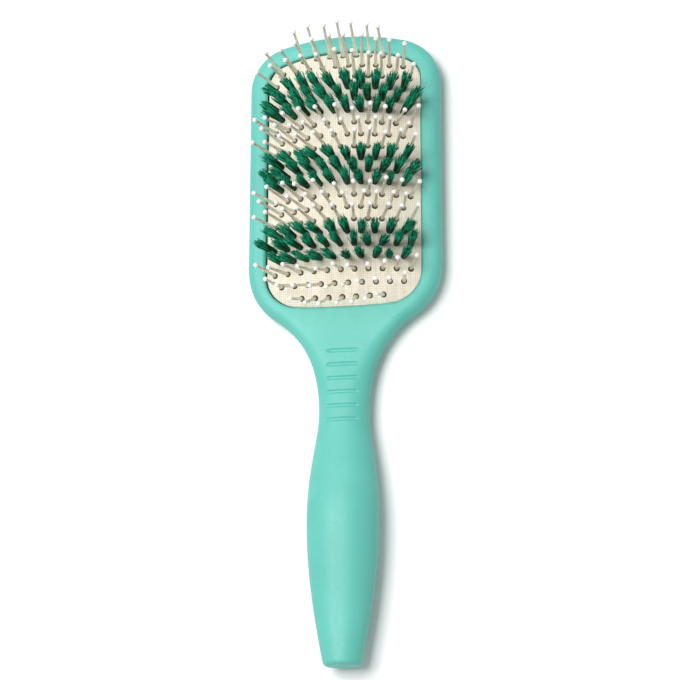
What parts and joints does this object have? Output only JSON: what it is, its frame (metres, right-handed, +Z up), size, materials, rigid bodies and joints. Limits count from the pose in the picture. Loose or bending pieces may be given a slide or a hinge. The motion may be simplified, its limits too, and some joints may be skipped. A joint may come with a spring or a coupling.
{
  "type": "cushioned paddle brush",
  "caption": "Paddle grooming brush with a round-edged handle and ball-tipped pins and bristle tufts on a domed, cloth-faced air cushion.",
  "frame": {"origin": "on the surface that the brush lies on, under the middle of its whole length and width", "axes": "+Y from the handle to the head, +Z up, the way the pins point, +X to the right seen from above with the head away"},
  "size_m": [0.0744, 0.246, 0.0345],
  "materials": {
    "shell": "teal moulded plastic with a fine soft-touch matt surface",
    "rubber": "dark brown rubber, dull, as the gap round the canvas shows",
    "canvas": "plain-woven cream canvas",
    "pin_nylon": "translucent grey-beige nylon",
    "ball_tip": "glossy white ball",
    "bristle": "dark green straight bristles with a low sheen"
  },
  "bodies": {
    "paddle": {"front_shell": "shell", "back_shell": "shell", "rubber_cushion": "rubber"},
    "cushion": {"pin_field": "canvas", "handle_tuft_band": "bristle", "middle_tuft_band": "bristle", "head_tuft_band": "bristle"}
  },
  "joints": [
    {"name": "cushion_press", "type": "slide", "parent": "paddle", "child": "cushion", "axis": [0, 0, -1], "range_m": [0, 0.003], "stiffness_N_per_m": 2500, "deforming": ["rubber_cushion"]}
  ]
}
